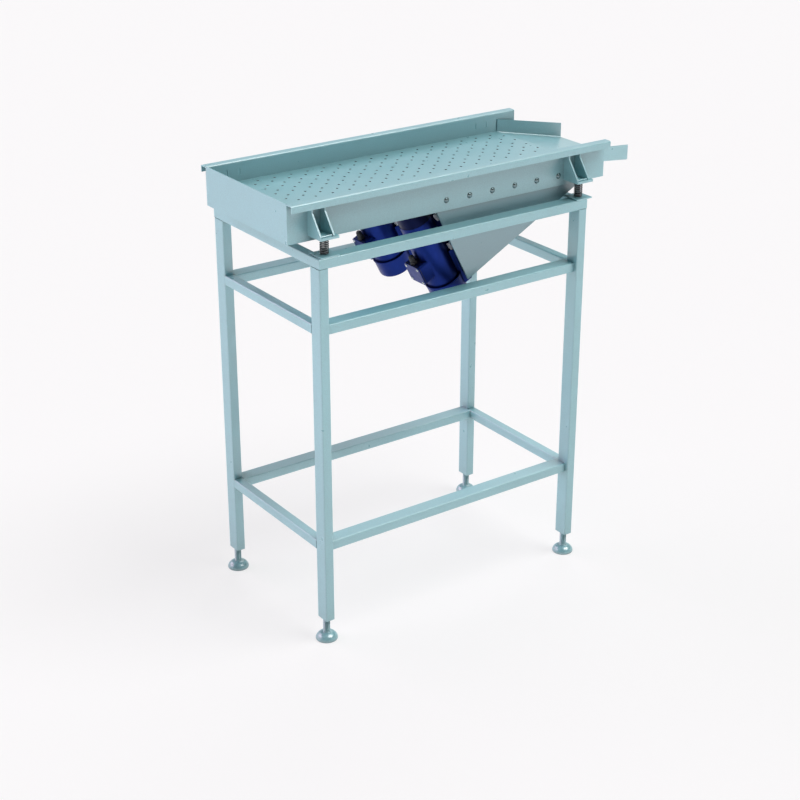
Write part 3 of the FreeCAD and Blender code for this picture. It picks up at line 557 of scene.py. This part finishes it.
# Cable gland: a nut with chamfered corners, a ribbed cap with a rounded mouth, and a domed plug in it
GLAND_HEIGHT = 0.1075 - SHAFT_HEIGHT
GLAND_NUT = ((0.0085, 0.0), (0.0085, 0.0012), (0.0085, 0.0058), (0.0085, 0.0070))
GLAND_NUT_CORNERS = (1.10, 1.1548, 1.1548, 1.10)
GLAND_CAP = ((0.0074, 0.0070), (0.0075, 0.0080), (0.0075, 0.0130), (0.0074, 0.0170), (0.0070, 0.0195),
             (0.0062, 0.0216), (0.0052, 0.0227), (0.0044, 0.0230), (0.0041, 0.0224), (0.0040, 0.0210))
GLAND_RIBS = 12
GLAND_RIB_DEPTH = 0.035
GLAND_RIB_FADE = 0.3
GLAND_SIDES = 72
GLAND_PLUG = ((0.0039, 0.0190), (0.0039, 0.0212), (0.0034, 0.0221), (0.0022, 0.0227), (0.0008, 0.0229))
PLUG_SIDES = 36


def motor_matrix(side):
    """From a motor's own axes to the part's frame."""
    joint = JOINTS["rotor_%s_spin" % side]
    up = Vector(joint["axis"]).normalized()
    across = Vector((0, 1, 0))
    out = up.cross(across)
    matrix = Matrix((up, across, out)).transposed().to_4x4()
    matrix.translation = Vector(joint["pos_m"])
    return matrix


def hexagon(angle):
    """Radius of a hexagon round a circle of radius one."""
    return 1 / math.cos((angle % (math.pi / 3)) - math.pi / 6)


def screw_shape(angle, index):
    return hexagon(angle) if index >= SOCKET_RING else 1.0


def socket_screw(bm, place, radius, height):
    """Button-headed screw with a hexagon socket, standing on the place's XY plane."""
    profile = [(radius * wide, height * high) for wide, high in SCREW_RINGS]
    turned(bm, place, profile, SCREW_SIDES, screw_shape)


def washer(bm, place, inner, outer, height):
    """Flat ring with a broken upper edge."""
    edge = height * WASHER_EDGE
    section = ((inner, 0.0), (outer, 0.0), (outer, height - edge), (outer - edge, height), (inner, height))
    hoop(bm, place, section, WASHER_SIDES)


def motor_screws(bm, motor):
    """Screws of the terminal lid and the end covers, and the washers under the foot bolts."""
    for x in (LID_X[0] + LID_SCREW_INSET, LID_X[1] - LID_SCREW_INSET):
        for y in (-LID_HALF + LID_SCREW_INSET, LID_HALF - LID_SCREW_INSET):
            socket_screw(bm, motor @ Matrix.Translation((x, y, LID_TOP)), *LID_SCREW)
    for end, way in COVER_ENDS:
        turn = Matrix.Rotation(way * math.pi / 2, 4, "Y")
        for y, z in arc((0, 0), COVER_SCREW_CIRCLE, (45, 135, 225, 315)):
            socket_screw(bm, motor @ Matrix.Translation((end, y, z)) @ turn, *COVER_SCREW)
    for x, y in FOOT_BOLTS:
        washer(bm, motor @ Matrix.Translation((x, y, FOOT_TOP)), *WASHER)


def cast_base(bm, motor):
    """Saddle of the casting that carries the foot on down under the barrel."""
    rings = []
    for x, reach in BASE_STEPS:
        half = [(min(y, reach + (y - reach) * BASE_SQUEEZE), z) for y, z in BASE_FLANGE + BASE_HOLLOW]
        outline = half + [(-y, z) for y, z in reversed(half)]
        rings.append([bm.verts.new(motor @ Vector((x, y, z))) for y, z in outline])
    skin(bm, rings)


def end_band(bm, motor):
    """Flanged band round the lower cover, where it meets the housing."""
    down = motor @ Matrix.Translation((BAND_TOP, 0, 0)) @ Matrix.Rotation(-math.pi / 2, 4, "Y")
    hoop(bm, down, BAND_SECTION, BAND_SIDES)


def rounded_rectangle(x0, x1, y0, y1, corner):
    """Outline of a rectangle with rounded corners, anticlockwise from the right."""
    points = []
    for x, y, start in ((x1 - corner, y1 - corner, 0), (x0 + corner, y1 - corner, 90),
                        (x0 + corner, y0 + corner, 180), (x1 - corner, y0 + corner, 270)):
        angles = [start + 90 * k / LID_CORNER_STEPS for k in range(LID_CORNER_STEPS + 1)]
        points.extend(arc((x, y), corner, angles))
    return points


def lid_gasket(bm, motor):
    """Soft strip between the terminal box and its lid."""
    low = LID_SEAM - GASKET_HALF
    high = LID_SEAM + GASKET_HALF
    rings = []
    for grow, z in ((-GASKET_DEPTH, low), (GASKET_PROUD, low), (GASKET_PROUD, high), (-GASKET_DEPTH, high)):
        outline = rounded_rectangle(
            LID_X[0] - grow, LID_X[1] + grow, -LID_HALF - grow, LID_HALF + grow, LID_CORNER + grow)
        rings.append([bm.verts.new(motor @ Vector((x, y, z))) for x, y in outline])
    skin(bm, rings + rings[:1], closed=False)


def nut_shape(angle, index):
    return min(hexagon(angle), GLAND_NUT_CORNERS[index])


def cap_shape(angle, index):
    deep = 1.0 if 1 <= index <= 3 else GLAND_RIB_FADE
    return 1.0 - GLAND_RIB_DEPTH * deep * (1 + math.cos(GLAND_RIBS * angle))


def gland_mouth(motor):
    """Place on the terminal box that the gland stands out from."""
    return motor @ Matrix.Translation((LID_X[1], 0, GLAND_HEIGHT)) @ Matrix.Rotation(math.pi / 2, 4, "Y")


def gland_body(bm, motor):
    """Nut and cap of the cable gland."""
    turned(bm, gland_mouth(motor), GLAND_NUT, GLAND_SIDES, nut_shape)
    turned(bm, gland_mouth(motor), GLAND_CAP, GLAND_SIDES, cap_shape)


def gland_plug(bm, motor):
    """Plug in the mouth of the gland."""
    turned(bm, gland_mouth(motor), GLAND_PLUG, PLUG_SIDES)


def motor_piece(name, shape, side, slot, material=None):
    """Piece of one motor, drawn by shape(bm, motor), that rides with the tray."""
    bm = bmesh.new()
    shape(bm, motor_matrix(side))
    piece = new_piece("%s_%s" % (name, side), bm, slot, material)
    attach(piece, "tray")
    return piece


for side in ("front", "back"):
    motor_piece("motor_screws", motor_screws, side, "zinc_steel")
    motor_piece("motor_base", cast_base, side, "motor_paint")
    motor_piece("cover_band", end_band, side, "motor_paint")
    motor_piece("lid_gasket", lid_gasket, side, "gland_plastic")
    gland = motor_piece("gland", gland_body, side, "gland_plastic")
    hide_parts("cable_gland_" + side)
    motor_piece("gland_plug", gland_plug, side, "gland_plastic", SEAL_RUBBER)


# Floor, backdrop and light
WHITE = (1.0, 1.0, 1.0)
LILAC_WHITE = (1.0, 0.77, 0.93)
FLOOR_WHITE = (0.85, 0.85, 0.85, 1)
FLOOR_SHADE = (0.25, 0.25, 0.25, 1)
FLOOR_GLOW = 0.70
FLOOR_RADIUS = 60.0
BACKDROP_HEIGHT = 22.0
BACKDROP_FADE = 5.0
BACKDROP_GLOW = 0.96
BACKDROP_TOP_GLOW = 0.42
STAGE_SIDES = 96
SKY_LEVEL = 0.105
LAMP_DISTANCE = 5.0
BOUNCE_SIZE = 8.0
BOUNCE_LEVEL = 0.31
BOUNCE_HEIGHT = 0.002


def glowing(tree, strength):
    glow = tree.nodes.new("ShaderNodeEmission")
    glow.inputs["Color"].default_value = (*WHITE, 1)
    glow.inputs["Strength"].default_value = strength
    return glow


def matt(tree, colour):
    surface = tree.nodes.new("ShaderNodeBsdfDiffuse")
    surface.inputs["Color"].default_value = colour
    return surface


def bare_material(name):
    """Material with nothing in it but its output."""
    material = bpy.data.materials.new(name)
    material.use_nodes = True
    tree = material.node_tree
    tree.nodes.clear()
    return material, tree, tree.nodes.new("ShaderNodeOutputMaterial")


def studio_floor_material():
    """A white floor: seen as nearly white with the object's shadow on it, and a white bounce to the rest."""
    material, tree, output = bare_material("floor_white")
    paths = tree.nodes.new("ShaderNodeLightPath")
    seen = paths.outputs["Is Camera Ray"]
    for other in ("Is Glossy Ray", "Is Transmission Ray"):
        either = tree.nodes.new("ShaderNodeMath")
        either.operation = "MAXIMUM"
        tree.links.new(seen, either.inputs[0])
        tree.links.new(paths.outputs[other], either.inputs[1])
        seen = either.outputs[0]
    pale = tree.nodes.new("ShaderNodeAddShader")
    tree.links.new(matt(tree, FLOOR_SHADE).outputs[0], pale.inputs[0])
    tree.links.new(glowing(tree, FLOOR_GLOW).outputs[0], pale.inputs[1])
    mix = tree.nodes.new("ShaderNodeMixShader")
    tree.links.new(seen, mix.inputs["Fac"])
    tree.links.new(matt(tree, FLOOR_WHITE).outputs[0], mix.inputs[1])
    tree.links.new(pale.outputs[0], mix.inputs[2])
    tree.links.new(mix.outputs[0], output.inputs["Surface"])
    return material


def backdrop_material():
    """A white wall far behind the floor, greyer towards its top."""
    material, tree, output = bare_material("backdrop_white")
    height = tree.nodes.new("ShaderNodeSeparateXYZ")
    tree.links.new(tree.nodes.new("ShaderNodeTexCoord").outputs["Object"], height.inputs[0])
    fade = tree.nodes.new("ShaderNodeMapRange")
    for name, value in (("From Min", BACKDROP_FADE), ("From Max", BACKDROP_HEIGHT),
                        ("To Min", BACKDROP_GLOW), ("To Max", BACKDROP_TOP_GLOW)):
        fade.inputs[name].default_value = value
    tree.links.new(height.outputs["Z"], fade.inputs["Value"])
    glow = glowing(tree, BACKDROP_GLOW)
    tree.links.new(fade.outputs["Result"], glow.inputs["Strength"])
    tree.links.new(glow.outputs[0], output.inputs["Surface"])
    return material


def stage_piece(name, bm, material):
    piece = link_object(name, mesh_of(name, bm))
    dress(piece, material)
    return piece


floor_mesh = bmesh.new()
bmesh.ops.create_circle(floor_mesh, cap_ends=True, segments=STAGE_SIDES, radius=FLOOR_RADIUS)
stage_piece("studio_floor", floor_mesh, studio_floor_material())

wall_mesh = bmesh.new()
origin = Matrix.Identity(4)
skin(
    wall_mesh,
    [ring(wall_mesh, origin, FLOOR_RADIUS, height, STAGE_SIDES) for height in (0.0, BACKDROP_HEIGHT)],
    closed=False,
)
backdrop = stage_piece("backdrop", wall_mesh, backdrop_material())
backdrop.visible_shadow = False
backdrop.visible_diffuse = False

world = bpy.data.worlds.new("studio")
bpy.context.scene.world = world
world.use_nodes = True
sky = world.node_tree.nodes["Background"]
sky.inputs["Color"].default_value = (*WHITE, 1)
sky.inputs["Strength"].default_value = SKY_LEVEL


def place_lamp(name, kind, energy, colour):
    lamp = bpy.data.lights.new(name, kind)
    lamp.energy = energy
    lamp.color = colour
    return link_object(name, lamp)


def soft_light(name, toward, strength, spread, colour=WHITE):
    """Even light from one direction, as soft as its spread in degrees is wide."""
    holder = place_lamp(name, "SUN", strength, colour)
    holder.data.angle = math.radians(spread)
    holder.location = Vector(toward) * LAMP_DISTANCE
    holder.rotation_euler = Vector(toward).to_track_quat("Z", "Y").to_euler()


def bounce_light(name, size, level):
    """Light from low down all round, as a white floor throws it back up."""
    holder = place_lamp(name, "AREA", level * math.pi * size * size, WHITE)
    holder.data.shape = "SQUARE"
    holder.data.size = size
    holder.location = (0, 0, BOUNCE_HEIGHT)
    holder.rotation_euler = (math.pi, 0, 0)
    holder.visible_camera = False
    holder.visible_glossy = False


soft_light("key_light", toward=(0.35, -0.35, 0.87), strength=1.96, spread=35)
soft_light("left_light", toward=(-0.60, 0.71, 0.36), strength=2.30, spread=60, colour=LILAC_WHITE)
soft_light("back_light", toward=(0.50, 0.50, 0.70), strength=0.55, spread=35)
bounce_light("floor_bounce", BOUNCE_SIZE, BOUNCE_LEVEL)

camera_data = bpy.data.cameras.new("photo_camera")
camera_data.lens = CAMERA_LENS
camera_data.sensor_fit = "HORIZONTAL"
camera_data.sensor_width = CAMERA_SENSOR
camera_data.clip_end = CAMERA_REACH
camera = link_object("photo_camera", camera_data)
camera.location = CAMERA_EYE
camera.rotation_euler = (math.radians(90 - CAMERA_ELEVATION), 0, math.radians(CAMERA_AZIMUTH))
bpy.context.scene.camera = camera
bpy.context.scene.view_settings.view_transform = "Standard"
